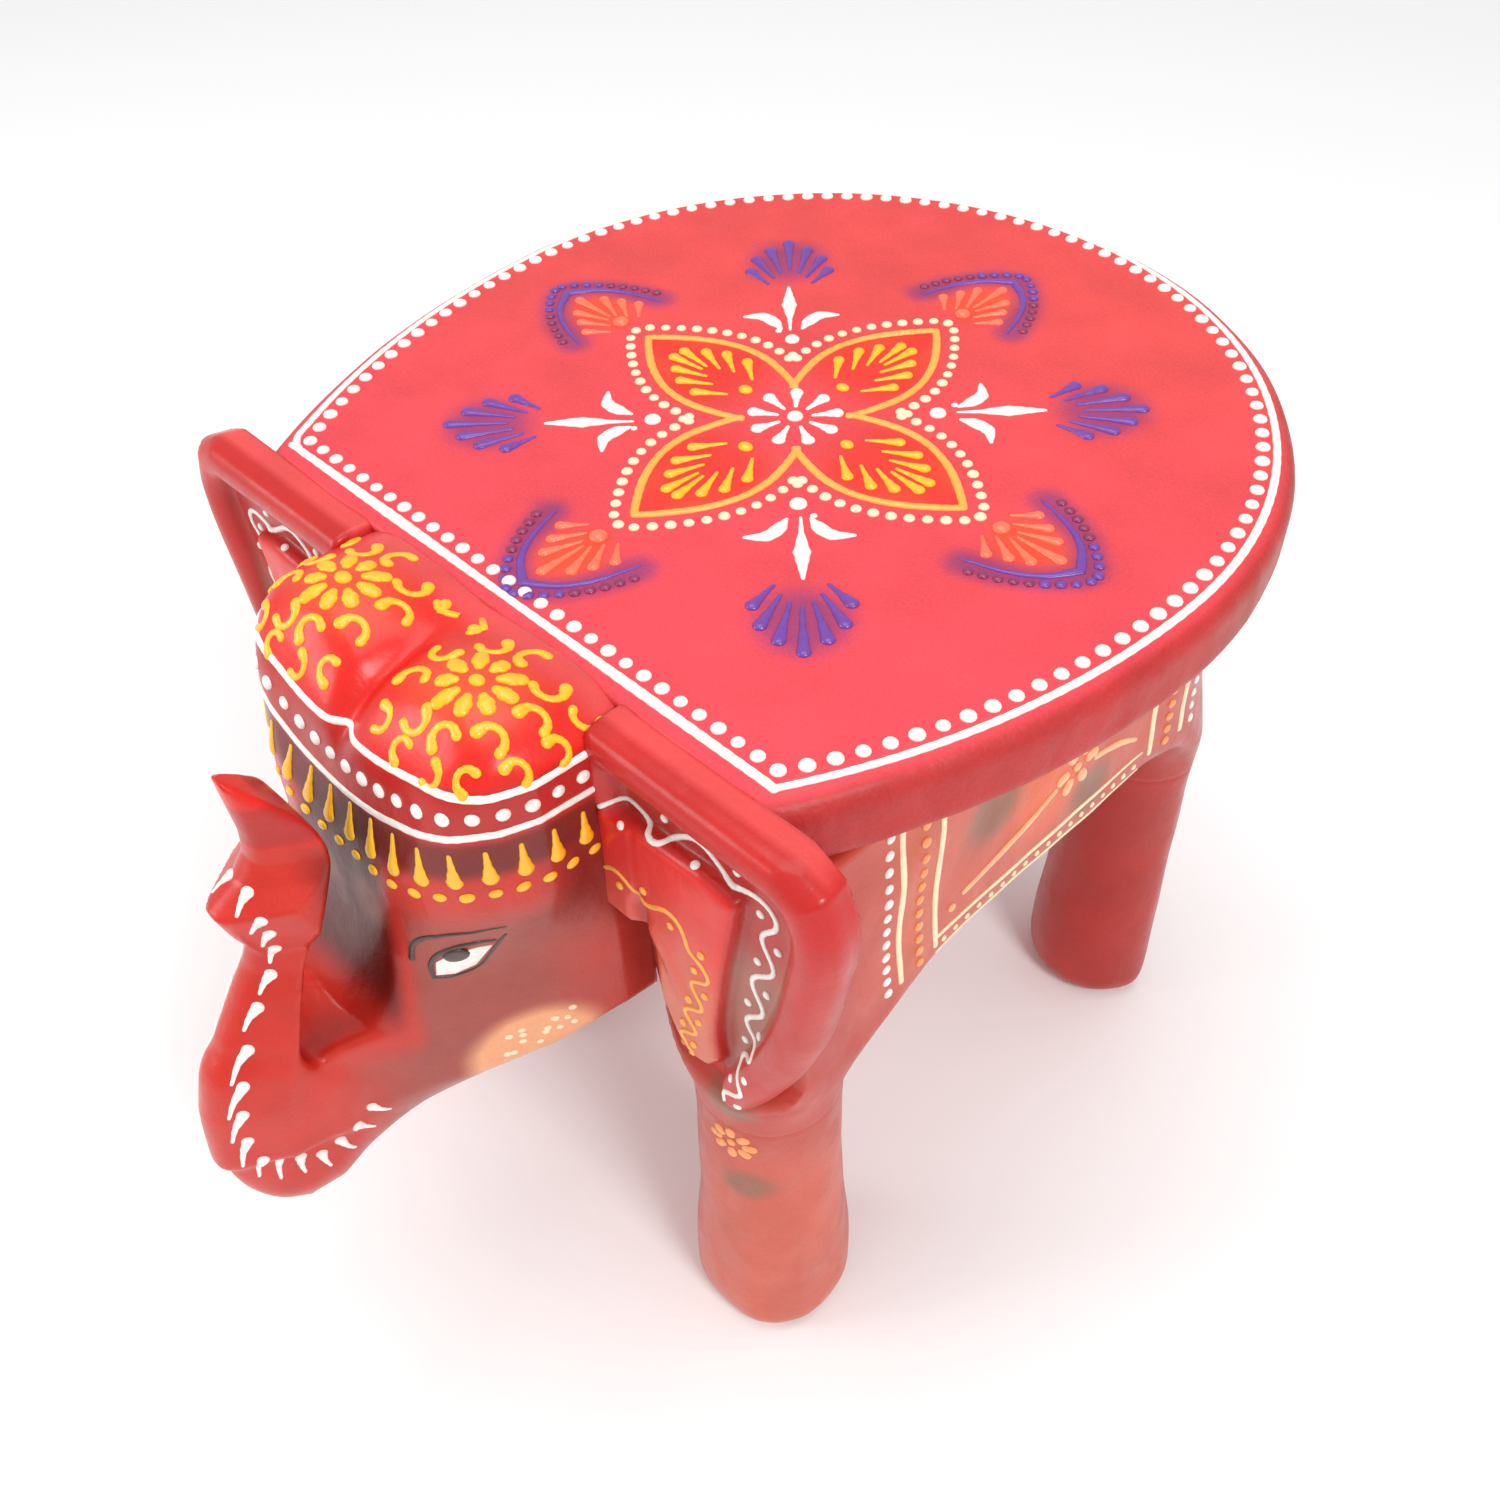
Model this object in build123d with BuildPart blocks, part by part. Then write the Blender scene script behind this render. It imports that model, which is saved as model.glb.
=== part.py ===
"""Hand-painted wooden elephant stool, in millimetres.

The floor is Z = 0 and the elephant faces -Y, so its left side is +X. The origin is the
centre of the overall footprint. A body block carries a flat seat, four legs on round
tenons, a carved head with a raised trunk, two ear panels and a small tail. Hidden
wooden dowels locate the seat, the head and the ears.
"""
import os

from build123d import *

# Driving dimensions
SEAT_HEIGHT = 205.0
SEAT_THICKNESS = 18.5
SEAT_RADIUS = 107.0
SEAT_CENTRE_Y = 42.0
SEAT_FRONT_Y = -56.0
SEAT_FRONT_HALF_WIDTH = 80.0
SEAT_TOP_ROUND = 5.5
SEAT_BOTTOM_ROUND = 3.0

BODY_HALF_WIDTH = 87.0
BODY_BACK_Y = 121.0
BODY_BACK_CORNER = 48.0
BELLY_HEIGHT = 125.0

LEG_FOOT_RADIUS = 20.5
LEG_FOOT_ROUND = 6.0
LEG_WAIST_RADIUS = 17.4
LEG_WAIST_HEIGHT = 72.0
LEG_TOP_RADIUS = 19.5
FRONT_LEG_X = 67.5
FRONT_LEG_Y = -46.5
REAR_LEG_X = 66.5
REAR_LEG_Y = 101.0
TENON_RADIUS = 11.0
TENON_LENGTH = 28.0
TENON_INSET = 5.0

BROW_HALF_WIDTH = 42.0
BROW_UNDERSIDE = 165.0
BROW_HEIGHT = 201.0
DOME_RADIUS = 23.0
DOME_X = 19.0
DOME_Y = -73.0
DOME_TOP = 211.5
TRUNK_HALF_WIDTH = 12.0
TRUNK_FRONT_REACH = 93.0

EAR_THICKNESS = 13.0
EAR_CHANNEL_DEPTH = 4.0
EAR_RIM_WIDTH = 9.0
EAR_CORNER_RADIUS = 7.0

TAIL_WIDTH = 11.0
TAIL_DEPTH = 8.0
TAIL_TOP = 176.0
TAIL_BOTTOM = 104.0
TAIL_PEG_RADIUS = 4.0
TAIL_PEG_LENGTH = 12.0

SEAT_DOWEL_RADIUS = 5.0
SEAT_DOWEL_REACH = 11.0
HEAD_DOWEL_RADIUS = 6.0
HEAD_DOWEL_REACH = 24.0
EAR_DOWEL_RADIUS = 4.0
EAR_DOWEL_REACH_IN_EAR = 5.0
EAR_DOWEL_REACH_IN_BODY = 13.0

# Levels and places that follow from them
SEAT_UNDERSIDE = SEAT_HEIGHT - SEAT_THICKNESS
BODY_FRONT_Y = SEAT_FRONT_Y
LEG_PLACES = {
    "front_left_leg": (FRONT_LEG_X, FRONT_LEG_Y),
    "front_right_leg": (-FRONT_LEG_X, FRONT_LEG_Y),
    "rear_left_leg": (REAR_LEG_X, REAR_LEG_Y),
    "rear_right_leg": (-REAR_LEG_X, REAR_LEG_Y),
}
SEAT_DOWEL_PLACES = [(-52, -15), (52, -15), (-52, 88), (52, 88)]
HEAD_DOWEL_PLACES = [(-21, 156), (21, 156)]
EAR_DOWEL_PLACES = [(57, 172), (79, 164)]
TAIL_PEG_HEIGHT = TAIL_TOP - 10.0


def tenon_axis(x, y):
    """The tenon stands a little nearer the middle of the body than its leg does."""
    inward_x = x - TENON_INSET if x > 0 else x + TENON_INSET
    inward_y = y - TENON_INSET if y > 0 else y + TENON_INSET
    return inward_x, inward_y


def save(part, name):
    """Label one finished piece and write it under its node name."""
    part.label = name
    export_step(part, f"parts/{name}.step")


def make_seat():
    """Flat seat: a half circle behind, drawn in by large arcs to a straight front edge."""
    with BuildPart() as seat:
        with BuildSketch(Plane.XY.offset(SEAT_UNDERSIDE)):
            with BuildLine():
                back = ThreePointArc(
                    (SEAT_RADIUS, SEAT_CENTRE_Y),
                    (0, SEAT_CENTRE_Y + SEAT_RADIUS),
                    (-SEAT_RADIUS, SEAT_CENTRE_Y),
                )
                TangentArc(back @ 1, (-SEAT_FRONT_HALF_WIDTH, SEAT_FRONT_Y), tangent=(0, -1))
                Line((-SEAT_FRONT_HALF_WIDTH, SEAT_FRONT_Y), (SEAT_FRONT_HALF_WIDTH, SEAT_FRONT_Y))
                TangentArc(back @ 0, (SEAT_FRONT_HALF_WIDTH, SEAT_FRONT_Y), tangent=(0, -1))
            make_face()
        extrude(amount=SEAT_THICKNESS)
        round_edges = seat.faces().sort_by(Axis.Z)[-1].edges().filter_by(GeomType.CIRCLE)
        fillet(round_edges, SEAT_TOP_ROUND)
        under_edges = seat.faces().sort_by(Axis.Z)[0].edges().filter_by(GeomType.CIRCLE)
        fillet(under_edges, SEAT_BOTTOM_ROUND)
        with BuildSketch(Plane.XY.offset(SEAT_UNDERSIDE)):
            with Locations(*SEAT_DOWEL_PLACES):
                Circle(SEAT_DOWEL_RADIUS)
        extrude(amount=SEAT_DOWEL_REACH, mode=Mode.SUBTRACT)
    return seat.part


def make_body():
    """Solid body block with sockets for the legs, the dowels and the tail peg."""
    with BuildPart() as body:
        with BuildSketch(Plane.XY.offset(BELLY_HEIGHT)):
            with Locations((0, (BODY_FRONT_Y + BODY_BACK_Y) / 2)):
                Rectangle(2 * BODY_HALF_WIDTH, BODY_BACK_Y - BODY_FRONT_Y)
        extrude(amount=SEAT_UNDERSIDE - BELLY_HEIGHT)
        fillet(body.edges().filter_by(Axis.Z).group_by(Axis.Y)[-1], BODY_BACK_CORNER)
        with BuildSketch(Plane.XY.offset(BELLY_HEIGHT)):
            with Locations(*[tenon_axis(x, y) for x, y in LEG_PLACES.values()]):
                Circle(TENON_RADIUS)
        extrude(amount=TENON_LENGTH, mode=Mode.SUBTRACT)
        with BuildSketch(Plane.XY.offset(SEAT_UNDERSIDE)):
            with Locations(*SEAT_DOWEL_PLACES):
                Circle(SEAT_DOWEL_RADIUS)
        extrude(amount=-SEAT_DOWEL_REACH, mode=Mode.SUBTRACT)
        with BuildSketch(Plane.XZ.offset(-BODY_FRONT_Y)):
            with Locations(*HEAD_DOWEL_PLACES):
                Circle(HEAD_DOWEL_RADIUS)
        extrude(amount=-HEAD_DOWEL_REACH, mode=Mode.SUBTRACT)
        with BuildSketch(Plane.XZ.offset(-BODY_FRONT_Y)):
            with Locations(*EAR_DOWEL_PLACES, *[(-x, z) for x, z in EAR_DOWEL_PLACES]):
                Circle(EAR_DOWEL_RADIUS)
        extrude(amount=-EAR_DOWEL_REACH_IN_BODY, mode=Mode.SUBTRACT)
        with BuildSketch(Plane.XZ.offset(-BODY_BACK_Y)):
            with Locations((0, TAIL_PEG_HEIGHT)):
                Circle(TAIL_PEG_RADIUS)
        extrude(amount=TAIL_PEG_LENGTH, mode=Mode.SUBTRACT)
    return body.part


def make_leg(x, y):
    """Round leg with a well rounded foot, a slim waist and a tenon on its top."""
    with BuildPart() as leg:
        with BuildSketch(Plane.XZ):
            with BuildLine():
                Line((0, 0), (LEG_FOOT_RADIUS - LEG_FOOT_ROUND, 0))
                foot = RadiusArc(
                    (LEG_FOOT_RADIUS - LEG_FOOT_ROUND, 0),
                    (LEG_FOOT_RADIUS, LEG_FOOT_ROUND),
                    -LEG_FOOT_ROUND,
                )
                Spline(
                    foot @ 1,
                    (LEG_WAIST_RADIUS, LEG_WAIST_HEIGHT),
                    (LEG_TOP_RADIUS, BELLY_HEIGHT),
                    tangents=[(0, 1), (0.12, 1)],
                )
                Polyline((LEG_TOP_RADIUS, BELLY_HEIGHT), (0, BELLY_HEIGHT), (0, 0))
            make_face()
        revolve(axis=Axis.Z)
        inset_x, inset_y = tenon_axis(x, y)
        with BuildSketch(Plane.XY.offset(BELLY_HEIGHT)):
            with Locations((inset_x - x, inset_y - y)):
                Circle(TENON_RADIUS)
        extrude(amount=TENON_LENGTH)
    return leg.part.moved(Location((x, y, 0)))


def make_head():
    """Square-shouldered brow with two domes over a wedge face that runs out into the trunk."""
    with BuildPart() as head:
        with BuildSketch(Plane.YZ):
            with BuildLine():
                Polyline((-56, 88), (-56, 170), (-101, 170))
                Spline((-101, 170), (-104, 150), (-118, 123))
                Polyline((-118, 123), (-125, 123))
                Spline((-125, 123), (-127, 131), (-112, 168), (-106, 185))
                Polyline((-106, 185), (-107, 197), (-119, 204), (-119, 181), (-129, 172))
                Spline((-129, 172), (-125, 158), (-146, 118), (-149, 103), (-147, 85), (-135, 71))
                Polyline((-135, 71), (-106, 81), (-56, 88))
            make_face()
        extrude(amount=BROW_HALF_WIDTH, both=True)
        with BuildSketch(Plane.XY):
            with BuildLine():
                Polyline((42, -56), (42, -66), (26, -97), (12, -122), (6, -149), (-6, -149))
                Polyline((-6, -149), (-12, -122), (-26, -97), (-42, -66), (-42, -56), (42, -56))
            make_face()
        extrude(amount=SEAT_HEIGHT, mode=Mode.INTERSECT)
        with BuildSketch(Plane.XZ.offset(-BODY_FRONT_Y)):
            with BuildLine():
                Polyline((42, 205), (42, 132), (26, 102), (8, 68), (-8, 68))
                Polyline((-8, 68), (-26, 102), (-42, 132), (-42, 205), (42, 205))
            make_face()
        extrude(amount=TRUNK_FRONT_REACH, mode=Mode.INTERSECT)
        for side in (-1, 1):
            with Locations((side * (TRUNK_HALF_WIDTH + 20), -130, 170)):
                Box(40, 50, 80, mode=Mode.SUBTRACT)
        with BuildSketch(Plane.XY.offset(BROW_UNDERSIDE)):
            with BuildLine():
                Polyline((42, -56), (42, -80), (26, -97), (-26, -97), (-42, -80), (-42, -56), (42, -56))
            make_face()
        extrude(amount=BROW_HEIGHT - BROW_UNDERSIDE)
        with Locations(*[(side * DOME_X, DOME_Y, DOME_TOP - DOME_RADIUS) for side in (-1, 1)]):
            Sphere(DOME_RADIUS)
        with BuildSketch(Plane.XZ.offset(-BODY_FRONT_Y)):
            Rectangle(200, 500)
        extrude(amount=-60, mode=Mode.SUBTRACT)
        with BuildSketch(Plane.XZ.offset(-BODY_FRONT_Y)):
            with Locations(*HEAD_DOWEL_PLACES):
                Circle(HEAD_DOWEL_RADIUS)
        extrude(amount=HEAD_DOWEL_REACH, mode=Mode.SUBTRACT)
    return head.part


def ear_outline():
    """Outline of the left ear in the XZ plane: straight top, hanging to a rounded tip."""
    with BuildSketch(Plane.XZ, mode=Mode.PRIVATE) as outline:
        with BuildLine():
            Polyline((42, 204), (102, 204), (100, 170), (79, 112), (64, 112), (55, 134))
            Polyline((55, 134), (55, 155), (42, 172), (42, 204))
        make_face()
        hanging_corners = outline.vertices().filter_by(lambda corner: corner.X > 43)
        fillet(hanging_corners, EAR_CORNER_RADIUS)
    return outline.sketch_local


def ear_fold():
    """Outline of the raised inner fold of the left ear."""
    with BuildSketch(Plane.XZ, mode=Mode.PRIVATE) as fold:
        with BuildLine():
            Polyline((40, 190), (82, 190), (76, 147), (60, 120), (50, 120), (40, 160), (40, 190))
        make_face()
    return fold.sketch_local


def make_left_ear():
    """Thick ear panel with a rolled rim, a sunk channel and a raised inner fold."""
    front = Plane.XZ.offset(-BODY_FRONT_Y)
    leg_below = make_leg(*LEG_PLACES["front_left_leg"])
    with BuildPart() as ear:
        with BuildSketch(front):
            add(ear_outline())
        extrude(amount=EAR_THICKNESS)
        with BuildSketch(front.offset(EAR_THICKNESS)):
            add(ear_outline())
            offset(amount=-EAR_RIM_WIDTH, mode=Mode.REPLACE)
            add(ear_fold(), mode=Mode.SUBTRACT)
        extrude(amount=-EAR_CHANNEL_DEPTH, mode=Mode.SUBTRACT)
        with BuildSketch(front):
            with Locations(*EAR_DOWEL_PLACES):
                Circle(EAR_DOWEL_RADIUS)
        extrude(amount=EAR_DOWEL_REACH_IN_EAR, mode=Mode.SUBTRACT)
        add(leg_below, mode=Mode.SUBTRACT)
    return ear.part


def make_tail():
    """Short carved tail, flat against the rump, held by a round peg."""
    with BuildPart() as tail:
        with BuildSketch(Plane.XZ.offset(-BODY_BACK_Y)):
            with Locations((0, (TAIL_TOP + TAIL_BOTTOM) / 2)):
                SlotOverall(TAIL_TOP - TAIL_BOTTOM, TAIL_WIDTH, rotation=90)
        extrude(amount=-TAIL_DEPTH)
        fillet(tail.faces().sort_by(Axis.Y)[-1].edges(), TAIL_WIDTH / 4)
        with BuildSketch(Plane.XZ.offset(-BODY_BACK_Y)):
            with Locations((0, TAIL_PEG_HEIGHT)):
                Circle(TAIL_PEG_RADIUS)
        extrude(amount=TAIL_PEG_LENGTH)
    return tail.part


def make_seat_dowels():
    """Four upright dowels, half in the body and half in the seat."""
    with BuildPart() as dowels:
        with BuildSketch(Plane.XY.offset(SEAT_UNDERSIDE)):
            with Locations(*SEAT_DOWEL_PLACES):
                Circle(SEAT_DOWEL_RADIUS)
        extrude(amount=SEAT_DOWEL_REACH, both=True)
    return dowels.part


def make_head_dowels():
    """Two thick dowels that carry the head on the front of the body."""
    with BuildPart() as dowels:
        with BuildSketch(Plane.XZ.offset(-BODY_FRONT_Y)):
            with Locations(*HEAD_DOWEL_PLACES):
                Circle(HEAD_DOWEL_RADIUS)
        extrude(amount=HEAD_DOWEL_REACH, both=True)
    return dowels.part


def make_left_ear_dowels():
    """Two thin dowels behind the left ear."""
    with BuildPart() as dowels:
        with BuildSketch(Plane.XZ.offset(-BODY_FRONT_Y)):
            with Locations(*EAR_DOWEL_PLACES):
                Circle(EAR_DOWEL_RADIUS)
        extrude(amount=EAR_DOWEL_REACH_IN_EAR)
        with BuildSketch(Plane.XZ.offset(-BODY_FRONT_Y)):
            with Locations(*EAR_DOWEL_PLACES):
                Circle(EAR_DOWEL_RADIUS)
        extrude(amount=-EAR_DOWEL_REACH_IN_BODY)
    return dowels.part


os.makedirs("parts", exist_ok=True)
save(make_seat(), "seat_slab")
save(make_body(), "body_block")
save(make_head(), "head_block")
save(make_tail(), "tail")
save(make_seat_dowels(), "seat_dowels")
save(make_head_dowels(), "head_dowels")
for leg_name, (leg_x, leg_y) in LEG_PLACES.items():
    save(make_leg(leg_x, leg_y), leg_name)
save(make_left_ear(), "left_ear")
save(make_left_ear().mirror(Plane.YZ), "right_ear")
save(make_left_ear_dowels(), "left_ear_dowels")
save(make_left_ear_dowels().mirror(Plane.YZ), "right_ear_dowels")
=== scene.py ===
"""Hand-painted wooden elephant stool around its CAD frame.

The carved wood is meshed from smooth distance fields, in millimetres. Airbrushed colour, with a painted sheen
and a painted reflection, is stored on the vertices. Raised cone-work paint is laid on the carved surfaces as
real beads.
"""
import math

import bpy
import numpy as np
from mathutils import Matrix, Vector
from mathutils.bvhtree import BVHTree


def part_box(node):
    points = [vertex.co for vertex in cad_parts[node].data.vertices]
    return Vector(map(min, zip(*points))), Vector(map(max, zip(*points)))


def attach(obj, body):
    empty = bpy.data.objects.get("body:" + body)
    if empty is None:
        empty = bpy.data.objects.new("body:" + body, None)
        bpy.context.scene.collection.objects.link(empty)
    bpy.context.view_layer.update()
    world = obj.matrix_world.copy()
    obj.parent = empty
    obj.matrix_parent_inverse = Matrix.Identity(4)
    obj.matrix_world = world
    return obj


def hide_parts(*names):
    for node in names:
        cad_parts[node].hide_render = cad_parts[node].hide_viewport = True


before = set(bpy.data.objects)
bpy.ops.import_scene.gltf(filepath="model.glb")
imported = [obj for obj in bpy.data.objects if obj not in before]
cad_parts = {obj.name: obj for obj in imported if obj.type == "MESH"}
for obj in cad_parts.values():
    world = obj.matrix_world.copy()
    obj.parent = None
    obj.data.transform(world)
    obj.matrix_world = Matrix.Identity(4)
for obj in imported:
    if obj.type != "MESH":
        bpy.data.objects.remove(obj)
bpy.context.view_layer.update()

# ---------------------------------------------------------------- driving dimensions, mm
MM = 0.001
SEAT_LOW, SEAT_HIGH = (np.array(corner) * 1000 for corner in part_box("seat_slab"))
BODY_LOW, BODY_HIGH = (np.array(corner) * 1000 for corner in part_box("body_block"))
SEAT_TOP = SEAT_HIGH[2]
SEAT_UNDER = SEAT_LOW[2]
SEAT_RADIUS = SEAT_HIGH[0]
SEAT_CENTRE_Y = SEAT_HIGH[1] - SEAT_RADIUS
SEAT_FRONT_Y = SEAT_LOW[1]
SEAT_FRONT_HALF = 80.0
BELLY = 125.0
BODY_HALF = BODY_HIGH[0]
BODY_BACK = BODY_HIGH[1]
BODY_CORNER = 48.0
SEAT_BEVEL = 4.6
FLOWER_Y = 33.6
DOME_FLOWER = (21.5, -74.0)
DOME_RADIUS = 22.0
LEGS = {
    "front_left_leg": (67.5, -46.5),
    "front_right_leg": (-67.5, -46.5),
    "rear_left_leg": (66.5, 101.0),
    "rear_right_leg": (-66.5, 101.0),
}
COARSE, FINE = 1.5, 1.0
TUCK = 0.8
JOINT_HEIGHT = 98.0

# ---------------------------------------------------------------- paint colours, linear
CORAL = (0.78, 0.060, 0.080)
CORAL_WARM = (0.74, 0.064, 0.062)
GLOSS_RED = (0.74, 0.014, 0.008)
BRICK = (0.42, 0.020, 0.014)
LEG_RED = (0.50, 0.042, 0.026)
MAROON = (0.09, 0.003, 0.002)
BROWN = (0.34, 0.060, 0.042)
TAUPE = (0.38, 0.13, 0.09)
SALMON = (0.72, 0.16, 0.09)
ORANGE_GLOW = (0.85, 0.13, 0.03)
PURPLE_GLOW = (0.25, 0.035, 0.15)
PEACH = (0.90, 0.40, 0.20)
GREEN_GREY = (0.16, 0.11, 0.06)


# ---------------------------------------------------------------- distance fields
def smooth_min(a, b, k):
    """Union of two fields with a fillet of about k."""
    h = np.clip(0.5 + 0.5 * (b - a) / k, 0.0, 1.0)
    return b * (1 - h) + a * h - k * h * (1 - h)


def smooth_max(a, b, k):
    """Intersection of two fields with an edge rounded by about k."""
    return -smooth_min(-a, -b, k)


def step(value, low, high):
    """Smooth ramp from 0 at low to 1 at high."""
    t = np.clip((value - low) / (high - low), 0.0, 1.0)
    return t * t * (3 - 2 * t)


def mix(a, b, t):
    return a + (b - a) * t


def curve(points, steps=6, closed=False):
    """Points along a smooth line through the given ones."""
    p = np.array(points, float)
    n = len(p)
    spans = n if closed else n - 1
    out = []
    for i in range(spans):
        if closed:
            a, b, c, d = p[i - 1], p[i], p[(i + 1) % n], p[(i + 2) % n]
        else:
            b, c = p[i], p[i + 1]
            a = p[i - 1] if i else 2 * b - c
            d = p[i + 2] if i + 2 < n else 2 * c - b
        for s in range(steps):
            t = s / steps
            out.append(
                0.5 * (2 * b + (c - a) * t + (2 * a - 5 * b + 4 * c - d) * t**2
                       + (3 * b - a - 3 * c + d) * t**3)
            )
    if not closed:
        out.append(p[-1])
    return np.array(out)


def polygon(u, v, corners):
    """Signed distance to a closed outline, negative inside."""
    best = None
    inside = None
    for a, b in zip(corners, np.roll(corners, -1, axis=0)):
        du, dv = b - a
        pu, pv = u - a[0], v - a[1]
        t = np.clip((pu * du + pv * dv) / (du * du + dv * dv + 1e-12), 0.0, 1.0)
        gap = (pu - du * t) ** 2 + (pv - dv * t) ** 2
        crosses = ((a[1] <= v) != (b[1] <= v)) & (pu < du * pv / (dv if dv else 1e-12))
        best = gap if best is None else np.minimum(best, gap)
        inside = crosses if inside is None else inside ^ crosses
    return np.sqrt(best) * np.where(inside, -1.0, 1.0)


def carving(x, y, z):
    """Small unevenness left by hand tools and thick paint."""
    wave = np.sin(x / 9.0 + 1.3) * np.sin(y / 11.0 + 0.4) * np.sin(z / 8.0 + 2.1)
    ripple = np.sin(x / 4.1 + y / 5.3) * np.sin(z / 4.7 - y / 6.1)
    return 0.30 * wave + 0.10 * ripple


def net(field, low, high, size):
    """Mesh of a field's zero level: one vertex in each crossed cell, quads between cells."""
    axes = [np.arange(a - 2 * size, b + 2 * size, size) for a, b in zip(low, high)]
    x, y, z = axes[0][:, None, None], axes[1][None, :, None], axes[2][None, None, :]
    value = field(x, y, z) + 0 * (x + y + z)
    counts = np.array(value.shape)
    total = np.zeros((*(counts - 1), 3))
    hits = np.zeros(counts - 1)
    crossings = []
    for axis in range(3):
        a = np.moveaxis(value, axis, 0)
        cut = (a[:-1] < 0) != (a[1:] < 0)
        t = np.where(cut, a[:-1] / np.where(cut, a[:-1] - a[1:], 1.0), 0.0)
        grid = np.indices(cut.shape).astype(float)
        grid[0] += t
        crossings.append((cut, a[:-1] < 0))
        cells = np.moveaxis(total, axis, 0)
        marks = np.moveaxis(hits, axis, 0)
        order = [axis, *[other for other in range(3) if other != axis]]
        nu, nv = cut.shape[1] - 1, cut.shape[2] - 1
        for du in (0, 1):
            for dv in (0, 1):
                part = cut[:, du : nu + du, dv : nv + dv]
                marks += part
                for place, world_axis in enumerate(order):
                    cells[..., world_axis] += part * grid[place][:, du : nu + du, dv : nv + dv]
    used = hits > 0
    number = np.full(used.shape, -1)
    number[used] = np.arange(used.sum())
    start = np.array([axis[0] for axis in axes])
    points = start + total[used] / hits[used][:, None] * size
    quads = []
    for axis, (cut, was_inside) in enumerate(crossings):
        cells = np.moveaxis(number, axis, 0)
        i, j, k = np.nonzero(cut[:, 1:-1, 1:-1])
        flip = was_inside[i, j + 1, k + 1] ^ (axis == 1)
        ring = np.stack(
            [cells[i, j, k], cells[i, j + 1, k], cells[i, j + 1, k + 1], cells[i, j, k + 1]], axis=1
        )
        quads.append(np.where(flip[:, None], ring, ring[:, ::-1]))
    quads = np.concatenate(quads)
    for _ in range(2):
        points = settle(field, points)
    return points, quads


def gradient(field, p, gap=0.3):
    """Slope of a field at scattered points."""
    rows = []
    for axis in range(3):
        shift = np.zeros(3)
        shift[axis] = gap
        ahead, behind = p + shift, p - shift
        rows.append((field(*ahead.T) - field(*behind.T)) / (2 * gap))
    return np.stack(rows, axis=1)


def settle(field, p):
    """Moves points onto the zero level."""
    slope = gradient(field, p)
    amount = np.clip(field(*p.T), -1.0, 1.0) / np.maximum((slope**2).sum(1), 0.2)
    return p - slope * amount[:, None]


# ---------------------------------------------------------------- carved shapes
def seat_outline(beyond=0.0):
    """Half circle behind, large tangent arcs down to the straight front edge, or beyond it."""
    reach = SEAT_CENTRE_Y - SEAT_FRONT_Y
    draw_in = SEAT_RADIUS - SEAT_FRONT_HALF
    side_radius = (reach**2 + draw_in**2) / (2 * draw_in)
    side_turn = math.asin((reach + beyond) / side_radius)
    right = []
    for turn in np.linspace(-side_turn, 0, 25):
        right.append((
            SEAT_RADIUS - side_radius + side_radius * math.cos(turn),
            SEAT_CENTRE_Y + side_radius * math.sin(turn),
        ))
    back = [
        (SEAT_RADIUS * math.cos(turn), SEAT_CENTRE_Y + SEAT_RADIUS * math.sin(turn))
        for turn in np.linspace(0, math.pi, 90)[1:-1]
    ]
    left = [(-x, y) for x, y in reversed(right)]
    return np.array(right + back + left)


SEAT_OUTLINE = seat_outline()
SEAT_BOARD = seat_outline(12.0)


def seat_field(x, y, z):
    """Board with a bevelled edge, square where the head and ears stand against it."""
    side = polygon(x, y, SEAT_BOARD) + carving(x, y, 0 * z) * 0.8
    bevel = 0.50 * (side + SEAT_BEVEL) + 0.86 * (z - SEAT_TOP)
    board = smooth_max(smooth_max(z - SEAT_TOP, bevel, 1.5), side, 3.0)
    board = smooth_max(board, SEAT_UNDER - z, 5.0)
    return smooth_max(board, SEAT_FRONT_Y - y, 0.8)


def body_field(x, y, z):
    """Body block, the four legs and their flares, as one flowing shape."""
    ax = np.abs(x)
    block = smooth_max(ax - BODY_HALF, SEAT_FRONT_Y - y, 3.0)
    corner = np.hypot(
        np.maximum(ax - BODY_HALF + BODY_CORNER, 0), np.maximum(y - BODY_BACK + BODY_CORNER, 0)
    ) - BODY_CORNER
    block = np.maximum(block, np.maximum(corner, y - BODY_BACK))
    block = smooth_max(block, BELLY - z, 5.0)
    block = np.maximum(block, z - SEAT_UNDER)
    radius = 17.3 + 3.0 * (1 - step(z, 8, 75)) + 2.0 * step(z, 85, 130)
    legs = None
    for lx, ly in (LEGS["front_left_leg"], LEGS["rear_left_leg"]):
        leg = (np.hypot(ax - lx, y - ly) - radius) * 0.98
        leg = smooth_max(leg, -z, 9.0)
        leg = np.maximum(leg, z - BELLY - 30)
        legs = leg if legs is None else np.minimum(legs, leg)
    whole = smooth_min(block, legs, 26.0)
    front = SEAT_FRONT_Y - 10.0 * (1 - step(z, 108, 124))
    sides = np.maximum(ax - BODY_HALF - 0.8, front - y)
    back = np.maximum(y - BODY_BACK - 0.8, -z)
    corner = corner - 0.8 - 5.0 * (1 - step(z, 104, 140))
    return smooth_max(whole, np.maximum(np.maximum(sides, back), corner), 3.0) + carving(x, y, z)


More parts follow.
